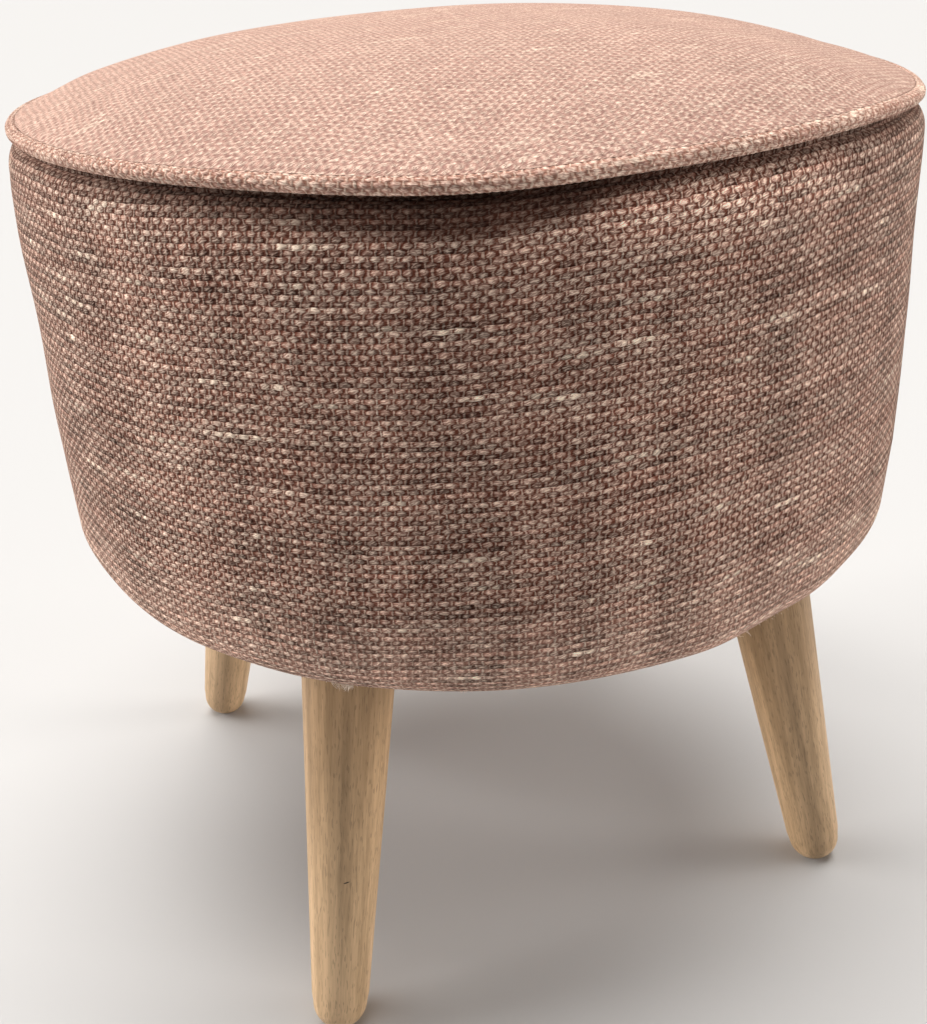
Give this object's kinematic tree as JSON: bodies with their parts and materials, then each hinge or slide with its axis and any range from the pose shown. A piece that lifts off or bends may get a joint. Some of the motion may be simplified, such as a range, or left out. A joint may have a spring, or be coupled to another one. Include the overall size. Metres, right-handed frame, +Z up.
{
  "type": "round ottoman",
  "caption": "Round padded footstool with a crowned top, piped seam, cloth side panel drawn in under the piping, and splayed tapered wooden legs.",
  "frame": {"origin": "on the floor, under the middle of the seat", "axes": "+Z up, through the middle of the seat; the legs lie on the diagonals between +X and +Y"},
  "size_m": [0.3952, 0.3952, 0.4141],
  "materials": {
    "fabric": "coarse plain weave of dusty pink and cream yarns, matt",
    "wood": "pale hardwood, fine straight grain, satin"
  },
  "bodies": {
    "root": {"top_panel": "fabric", "piping": "fabric", "side_panel": "fabric", "leg_front_left": "wood", "leg_front_right": "wood", "leg_back_right": "wood", "leg_back_left": "wood"}
  },
  "joints": []
}
